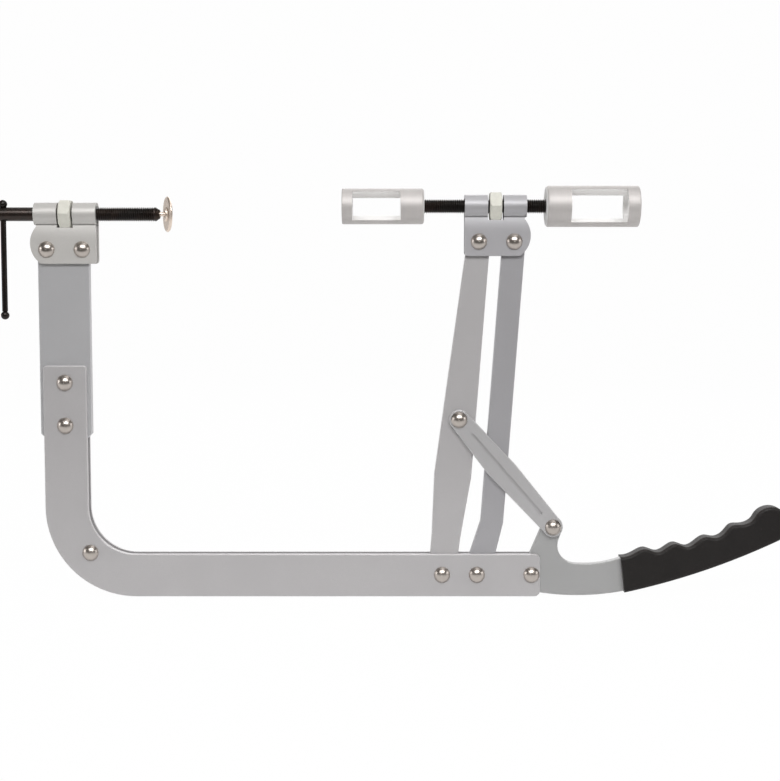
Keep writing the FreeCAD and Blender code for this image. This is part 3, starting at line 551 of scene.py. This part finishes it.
def silver_paint(name, colour, rim_highlight_gain=1.4, metallic=0.3, roughness=0.42, crease=None):
    """Silver-grey paint with a fine flake, paler along the rims as a painted highlight.

    A folded sheet has a crease at a height, darkened by painted shade, with the sheet bowed out under it.
    """
    material, nodes, shader, where = new_material(name, metallic)
    grain = nodes.group(shared(grain_group), Vector=where["Object"], Fine=2600.0, Broad=26.0)
    rim = nodes.group(shared(rim_group), Normal=where["Normal"])
    marks = nodes.group(shared(scratch_group), Vector=where["Object"], Scale=70.0, Rarity=0.7)
    flake = nodes.speckle(grain)
    cloud = nodes.remap(grain.outputs["Cloud"], NOISE_LOW, NOISE_HIGH)
    base = nodes.mix(flake, scaled(colour, 0.93), scaled(colour, 1.07))
    base = nodes.mix(cloud, base, scaled(colour, 0.96))
    # Painted highlight: the paint is paler along the rims, by the rim highlight gain.
    base = nodes.mix(nodes.share(rim.outputs["Rim"], 0.8), base, scaled(colour, rim_highlight_gain))
    base = nodes.mix(nodes.share(marks.outputs["Lines"], 0.12), base, scaled(colour, 1.3))
    relief = None
    if crease:
        fold = nodes.group(shared(crease_group), Vector=where["Object"], Level=crease)
        # Painted shade: the paint darkens along the crease.
        base = nodes.mix(nodes.share(fold.outputs["Shade"], 0.6), base, scaled(colour, 0.3))
        relief = nodes.bump(fold.outputs["Relief"], strength=1.0, distance=CREASE_DEPTH)
    nodes.link(base, shader.inputs["Base Color"])
    nodes.link(nodes.remap(flake, 0.0, 1.0, roughness - 0.04, roughness + 0.05), shader.inputs["Roughness"])
    skin = nodes.bump(grain.outputs["Speckle"], strength=0.12, distance=0.00006, under=relief)
    nodes.link(skin, shader.inputs["Normal"])
    return material


def bright_nickel(name, colour, roughness=0.3):
    """Tumbled nickel plate: bright, and a little duller and rougher in clouds."""
    material, nodes, shader, where = new_material(name, metallic=1.0)
    grain = nodes.group(shared(grain_group), Vector=where["Object"], Fine=1800.0, Broad=120.0)
    cloud = nodes.remap(grain.outputs["Cloud"], 0.35, 0.7)
    nodes.link(nodes.mix(cloud, colour, scaled(colour, 0.95)), shader.inputs["Base Color"])
    nodes.link(nodes.remap(cloud, 0.0, 1.0, roughness - 0.02, roughness + 0.04), shader.inputs["Roughness"])
    return material


def pale_zinc(name, colour):
    """Zinc plate of a pressed nut: pale, a little chalky and darker in faint blotches."""
    material, nodes, shader, where = new_material(name)
    grain = nodes.group(shared(grain_group), Vector=where["Object"], Fine=1500.0, Broad=260.0)
    cloud = nodes.remap(grain.outputs["Cloud"], 0.4, 0.75)
    nodes.link(nodes.mix(cloud, colour, scaled(colour, 0.9)), shader.inputs["Base Color"])
    nodes.link(nodes.speckle(grain, 0.5, 0.6), shader.inputs["Roughness"])
    skin = nodes.bump(grain.outputs["Speckle"], strength=0.2, distance=0.00005)
    nodes.link(skin, shader.inputs["Normal"])
    return material


def black_oxide(name, colour):
    """Blackened steel under a film of oil, rubbed brown in places and dusty in specks."""
    material, nodes, shader, where = new_material(name, metallic=0.75)
    shader.inputs["Coat Weight"].default_value = 0.25
    shader.inputs["Coat Roughness"].default_value = 0.22
    grain = nodes.group(shared(grain_group), Vector=where["Object"], Fine=1600.0, Broad=90.0)
    specks = nodes.group(shared(speck_group), Vector=where["Object"], Scale=700.0, Amount=0.42)
    brown = nodes.remap(grain.outputs["Cloud"], 0.45, 0.75)
    brown_gains = (1.9, 1.35, 1.1)
    rubbed = tuple(min(1.0, value * gain) for value, gain in zip(colour, brown_gains))
    base = nodes.mix(brown, colour, rubbed)
    base = nodes.mix(nodes.share(specks.outputs["Specks"], 0.3), base, scaled(colour, 5.0))
    nodes.link(base, shader.inputs["Base Color"])
    nodes.link(nodes.speckle(grain, 0.26, 0.46), shader.inputs["Roughness"])
    skin = nodes.bump(grain.outputs["Speckle"], strength=0.2, distance=0.00006)
    nodes.link(skin, shader.inputs["Normal"])
    return material


def dipped_vinyl(name, colour):
    """Dull vinyl with a fine skin, lighter along its raised edges as a painted highlight, and dusty in
    specks, most along those edges.
    """
    material, nodes, shader, where = new_material(name)
    shader.inputs["Specular IOR Level"].default_value = 0.25
    grain = nodes.group(shared(grain_group), Vector=where["Object"], Fine=1300.0, Broad=60.0)
    rim = nodes.group(shared(rim_group), Normal=where["Normal"])
    specks = nodes.group(shared(speck_group), Vector=where["Object"], Scale=1000.0, Amount=0.5)
    dust_share = nodes.remap(rim.outputs["Rim"], 0.0, 1.0, 0.12, 0.6)
    dust = nodes.share(specks.outputs["Specks"], dust_share)
    cloud = nodes.remap(grain.outputs["Cloud"], 0.35, 0.7)
    base = nodes.mix(cloud, colour, scaled(colour, 0.8))
    # Painted highlight: the raised edges are lighter.
    base = nodes.mix(nodes.share(rim.outputs["Rim"], 0.5), base, scaled(colour, 3.0))
    base = nodes.mix(dust, base, scaled(colour, 9.0))
    nodes.link(base, shader.inputs["Base Color"])
    nodes.link(nodes.speckle(grain, 0.42, 0.6), shader.inputs["Roughness"])
    skin = nodes.bump(grain.outputs["Speckle"], strength=0.35, distance=0.00012)
    nodes.link(skin, shader.inputs["Normal"])
    return material


def satin_aluminium(name, colour, cut, height, painted_reflection_radius):
    """Turned aluminium with fine tool rings along X; what lies nearer its axis, the cup and window walls, is
    painted near white and less metallic: a painted reflection of the white backdrop.

    The distance from the axis is the root of y squared plus the square of z less the height.
    """
    material, nodes, shader, where = new_material(name)
    grain = nodes.group(shared(grain_group), Vector=where["Object"], Fine=1900.0, Broad=45.0)
    tool_rings = (2600.0, 12.0, 12.0)
    rings = nodes.noise(nodes.stretched(where["Object"], tool_rings), scale=1.0, detail=2.0)
    marks = nodes.group(shared(scratch_group), Vector=where["Object"], Scale=120.0, Rarity=0.68)
    axis = nodes.group(shared(axis_group), Vector=where["Object"], Height=height)
    outside = nodes.remap(axis.outputs["Distance"], painted_reflection_radius - CUT_BLEND, painted_reflection_radius)
    cloud = nodes.remap(grain.outputs["Cloud"], 0.35, 0.7)
    base = nodes.mix(cloud, colour, scaled(colour, 0.9))
    base = nodes.mix(nodes.remap(rings, 0.35, 0.65, 0.0, 0.5), base, scaled(colour, 0.88))
    base = nodes.mix(nodes.share(marks.outputs["Lines"], 0.25), base, scaled(colour, 1.2))
    # Painted reflection: inside the painted reflection radius the walls take the pale colour and less metal.
    nodes.link(nodes.mix(outside, cut, base), shader.inputs["Base Color"])
    nodes.link(nodes.remap(outside, 0.0, 1.0, 0.1, 0.45), shader.inputs["Metallic"])
    nodes.link(nodes.speckle(grain, 0.5, 0.6), shader.inputs["Roughness"])
    nodes.link(nodes.bump(rings, strength=0.15, distance=0.00004), shader.inputs["Normal"])
    return material


class FeedScrew(bpy.types.Operator):
    """The feed screw: plain shank, thread and coned tip"""

    bl_idname = "compressor.feed_screw"
    bl_label = "Feed screw"

    def execute(self, context):
        low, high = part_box("feed_screw")
        crest = crest_radius()
        chamfer = settings().end_chamfer
        profile = [
            (low[0], SHANK_RADIUS - chamfer),
            (low[0] + chamfer, SHANK_RADIUS),
            (THREAD_START_X, SHANK_RADIUS),
            (THREAD_END_X, crest),
            (high[0], TIP_RADIUS),
        ]
        thread = (THREAD_START_X, THREAD_END_X)
        piece = threaded_rod("threaded_feed_screw", "feed_screw", profile, thread)
        finish_piece(piece, "feed_screw", "feed_screw", bpy.data.materials["black oxide"])
        return {"FINISHED"}


class JawStud(bpy.types.Operator):
    """The jaw's stud, threaded from end to end"""

    bl_idname = "compressor.jaw_stud"
    bl_label = "Jaw stud"

    def execute(self, context):
        low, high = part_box("jaw_stud")
        crest = crest_radius()
        chamfer = settings().end_chamfer
        start = low[0] + chamfer
        end = high[0] - chamfer
        profile = [
            (low[0], crest - chamfer),
            (start, crest),
            (end, crest),
            (high[0], crest - chamfer),
        ]
        piece = threaded_rod("threaded_jaw_stud", "jaw_stud", profile, (start, end))
        finish_piece(piece, "jaw_stud", "jaw_stud", bpy.data.materials["black oxide"])
        return {"FINISHED"}


class Nuts(bpy.types.Operator):
    """The two hexagon nuts held in the saddles"""

    bl_idname = "compressor.nuts"
    bl_label = "Nuts"

    def execute(self, context):
        for node, body in (("screw_nut", "frame"), ("jaw_nut", "jaw")):
            piece = hexagon_nut(f"chamfered_{node}", node)
            finish_piece(piece, node, body, bpy.data.materials["pale zinc"])
        return {"FINISHED"}


class Finishes(bpy.types.Operator):
    """The finishes: on every CAD piece that stays, and for the screw, stud and nuts to come"""

    bl_idname = "compressor.finishes"
    bl_label = "Finishes"

    def execute(self, context):
        shade = colours()
        repaint(PAINTED_PLATES, silver_paint("silver paint", tuple(shade.paint)))
        # Painted light and shade: each saddle has its own copy of the paint, the screw saddle's paler, the
        # jaw saddle's darker.
        for node in ("screw_saddle", "jaw_saddle"):
            colour = tuple(getattr(shade, f"{node}_paint"))
            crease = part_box(node)[1][2] - CREASE_DROP
            saddle = silver_paint(node, colour, rim_highlight_gain=1.05, metallic=0.35, roughness=0.47, crease=crease)
            repaint((node,), saddle)
        repaint(("upright_post",), silver_paint("post paint", tuple(shade.post_paint)))
        # Painted shade: the rear arm gets a darker copy of the paint.
        repaint(("rear_arm",), silver_paint("rear arm paint", tuple(shade.rear_arm_shaded_paint)))
        repaint(("lever_plate",), silver_paint("lever paint", tuple(shade.lever_paint)))
        repaint(("link_plate_front", "link_plate_rear"), silver_paint("link paint", tuple(shade.link_paint)))
        repaint(RIVETS, bright_nickel("rivet nickel", tuple(shade.nickel)))
        repaint(("swivel_pad", "pad_pin"), bright_nickel("pad nickel", tuple(shade.pad), roughness=0.42))
        pale_zinc("pale zinc", tuple(shade.zinc))
        black_oxide("black oxide", tuple(shade.black))
        darker = scaled(tuple(shade.black), 0.5)
        repaint(("sliding_bar", "bar_ball_upper", "bar_ball_lower"), black_oxide("bar oxide", darker))
        repaint(("grip",), dipped_vinyl("dipped vinyl", tuple(shade.vinyl)))
        # The pale colour of the adaptors' walls is a painted reflection of the white backdrop.
        turned, cut = tuple(shade.aluminium), tuple(shade.cut)
        for node in ("small_adaptor", "large_adaptor"):
            low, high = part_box(node)
            height = (low[2] + high[2]) / 2
            painted_reflection_radius = (high[2] - low[2]) / 2 - CUT_DEPTH
            repaint((node,), satin_aluminium(node, turned, cut, height, painted_reflection_radius))
        return {"FINISHED"}


def area_light(name, place, aim, size, power):
    """A rectangular lamp of a size in metres and a power in watts, which looks at a point."""
    data = bpy.data.lights.new(name, "AREA")
    data.shape = "RECTANGLE"
    data.size, data.size_y = size
    data.energy = power
    lamp = bpy.data.objects.new(name, data)
    bpy.context.scene.collection.objects.link(lamp)
    way = np.array(aim) - np.array(place)
    lamp.location = place
    level = math.hypot(way[0], way[1])
    lamp.rotation_euler = (math.atan2(level, -way[2]), 0, math.atan2(-way[0], way[1]))


def white_where_seen(nodes, plain):
    """The plain shader, but nearly white to camera rays, and less so to glossy rays."""
    light = nodes.add("ShaderNodeLightPath").outputs
    mirrored = nodes.share(light["Is Glossy Ray"], MIRRORED_WHITE)
    seen = nodes.math("MAXIMUM", nodes.share(light["Is Camera Ray"], SEEN_WHITE), mirrored)
    glow = nodes.add("ShaderNodeEmission")
    glow.inputs["Color"].default_value = WHITE
    choice = nodes.add("ShaderNodeMixShader")
    nodes.link(seen, choice.inputs[0])
    nodes.link(plain, choice.inputs[1])
    nodes.link(glow.outputs[0], choice.inputs[2])
    return choice.outputs[0]


class Stage(bpy.types.Operator):
    """Floor, backdrop, lamps, world and camera"""

    bl_idname = "compressor.stage"
    bl_label = "Stage"

    def execute(self, context):
        self.add_floor()
        self.add_lamps()
        self.add_world()
        self.add_camera()
        context.scene.view_settings.view_transform = "Standard"
        return {"FINISHED"}

    def add_floor(self):
        """A floor that bends up into a backdrop: level, then a quarter circle, then upright.

        Its front edge lies close, so that round surfaces mirror a dark room in front of it.
        """
        reach, rise, bend, front, bend_steps = 3.0, 3.0, 0.8, 0.45, 16
        turn = np.linspace(0, math.pi / 2, bend_steps)
        depth = np.concatenate([[-front], reach - bend + bend * np.sin(turn), [reach]])
        height = np.concatenate([[0.0], bend - bend * np.cos(turn), [rise]]) - FLOOR_GAP
        sides = np.tile([-reach, reach], len(depth))
        points = np.stack([sides, np.repeat(depth, 2), np.repeat(height, 2)], axis=-1)
        first = np.arange(len(depth) - 1) * 2
        faces = np.stack([first, first + 1, first + 3, first + 2], axis=-1)
        mesh = bpy.data.meshes.new("floor")
        mesh.from_pydata(points.tolist(), [], faces.tolist())
        mesh.shade_smooth()
        floor = bpy.data.objects.new("floor", mesh)
        bpy.context.scene.collection.objects.link(floor)
        material = bpy.data.materials.new("white sweep")
        material.use_nodes = True
        material.node_tree.nodes.clear()
        nodes = Nodes(material.node_tree)
        plain = nodes.add("ShaderNodeBsdfDiffuse")
        plain.inputs["Color"].default_value = FLOOR_COLOUR
        output = nodes.add("ShaderNodeOutputMaterial")
        nodes.link(white_where_seen(nodes, plain.outputs[0]), output.inputs[0])
        mesh.materials.append(material)

    def add_lamps(self):
        area_light("front softbox", place=(0.1, -1.45, 1.38), aim=(0, 0, 0.12), size=(1.7, 0.7), power=29)
        area_light("overhead softbox", place=(0.1, 0.1, 1.7), aim=(0, 0, 0.1), size=(1.6, 1.0), power=6)
        area_light("left softbox", place=(-2.2, -0.4, 0.5), aim=(-0.1, 0, 0.0), size=(0.8, 0.8), power=6)
        area_light("right softbox", place=(2.0, -0.6, 0.6), aim=(0.1, 0, 0.15), size=(0.8, 0.8), power=5)
        area_light("rear softbox", place=(0.2, 1.5, 1.2), aim=(0, 0, 0.12), size=(1.6, 0.8), power=9)

    def add_world(self):
        """A dim room to all rays but those of the camera, which see white."""
        world = bpy.data.worlds.new("studio")
        bpy.context.scene.world = world
        world.use_nodes = True
        world.node_tree.nodes.clear()
        nodes = Nodes(world.node_tree)
        room = nodes.add("ShaderNodeBackground")
        room.inputs["Color"].default_value = ROOM_COLOUR
        room.inputs["Strength"].default_value = ROOM_STRENGTH
        white = nodes.add("ShaderNodeBackground")
        white.inputs["Color"].default_value = WHITE
        choice = nodes.add("ShaderNodeMixShader")
        light = nodes.add("ShaderNodeLightPath")
        nodes.link(light.outputs["Is Camera Ray"], choice.inputs[0])
        nodes.link(room.outputs[0], choice.inputs[1])
        nodes.link(white.outputs[0], choice.inputs[2])
        output = nodes.add("ShaderNodeOutputWorld")
        nodes.link(choice.outputs[0], output.inputs[0])

    def add_camera(self):
        data = bpy.data.cameras.new("camera")
        data.sensor_fit = "HORIZONTAL"
        data.sensor_width = SENSOR_WIDTH_MM
        data.lens = FOCAL_PIXELS / IMAGE_WIDTH * SENSOR_WIDTH_MM
        camera = bpy.data.objects.new("camera", data)
        bpy.context.scene.collection.objects.link(camera)
        camera.location = CAMERA_PLACE
        camera.rotation_euler = (CAMERA_PITCH, 0, 0)
        bpy.context.scene.camera = camera


class CompressorPanel(bpy.types.Panel):
    """Lists the sizes, the colours and the steps that make the compressor"""

    bl_idname = "VIEW3D_PT_compressor"
    bl_label = "Valve Spring Compressor"
    bl_space_type = "VIEW_3D"
    bl_region_type = "UI"
    bl_category = "Compressor"

    def draw(self, context):
        for group in (context.scene.compressor_sizes, context.scene.compressor_colours):
            for name in group.__annotations__:
                self.layout.prop(group, name)
        for step in STEPS:
            self.layout.operator(step.bl_idname)


STEPS = (Finishes, FeedScrew, JawStud, Nuts, Stage)
CLASSES = (CompressorSizes, CompressorColours, *STEPS, CompressorPanel)


def register():
    for cls in CLASSES:
        bpy.utils.register_class(cls)
    bpy.types.Scene.compressor_sizes = bpy.props.PointerProperty(type=CompressorSizes)
    bpy.types.Scene.compressor_colours = bpy.props.PointerProperty(type=CompressorColours)


def unregister():
    del bpy.types.Scene.compressor_colours
    del bpy.types.Scene.compressor_sizes
    for cls in reversed(CLASSES):
        bpy.utils.unregister_class(cls)


def main():
    register()
    bpy.ops.compressor.finishes()
    bpy.ops.compressor.feed_screw()
    bpy.ops.compressor.jaw_stud()
    bpy.ops.compressor.nuts()
    bpy.ops.compressor.stage()


if __name__ == "__main__":
    main()
